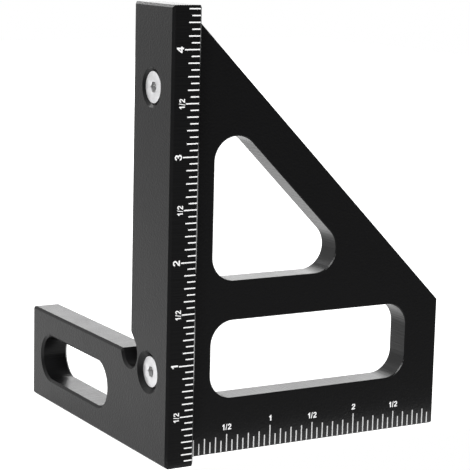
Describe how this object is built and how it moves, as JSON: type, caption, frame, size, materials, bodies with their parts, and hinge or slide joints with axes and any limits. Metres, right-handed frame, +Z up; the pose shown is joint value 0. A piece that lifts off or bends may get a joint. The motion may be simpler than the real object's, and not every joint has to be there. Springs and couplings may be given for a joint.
{
  "type": "bolted marking ruler",
  "caption": "Upright graduated angle bar with a slotted foot behind it, carrying a graduated 45 degree plate with two windows, held by flat-headed socket screws.",
  "frame": {"origin": "on the base, under the centre line of the upright bar, halfway through its thickness and its depth", "axes": "+Z up the bar, +X right along the plate's scale, +Y back along the foot"},
  "size_m": [0.0845, 0.08, 0.112],
  "materials": {
    "anodised_bar": "satin black anodised",
    "anodised_plate": "satin black anodised",
    "screw_steel": "bright zinc plated",
    "scale_white": "matt white marking film"
  },
  "bodies": {
    "bar_body": {"angle_bar": "anodised_bar", "bar_scale": "scale_white"},
    "plate_body": {"triangle_plate": "anodised_plate", "plate_scale": "scale_white"},
    "upper_screw_body": {"upper_screw": "screw_steel"},
    "lower_screw_body": {"lower_screw": "screw_steel"}
  },
  "joints": [
    {"name": "plate_draw", "type": "slide", "parent": "bar_body", "child": "plate_body", "axis": [1, 0, 0], "range_m": [0, 0.0051]},
    {"name": "upper_screw_turn", "type": "hinge", "parent": "bar_body", "child": "upper_screw_body", "pos_m": [0, 0.00045, 0.092], "axis": [-1, 0, 0], "range_deg": [0, 2623]},
    {"name": "lower_screw_turn", "type": "hinge", "parent": "bar_body", "child": "lower_screw_body", "pos_m": [0, 0.00045, 0.022], "axis": [-1, 0, 0], "range_deg": [0, 2623]}
  ],
  "couplings": [
    {"joint": "upper_screw_turn", "follows": "plate_draw", "rad_per_m": 8976},
    {"joint": "lower_screw_turn", "follows": "plate_draw", "rad_per_m": 8976}
  ]
}
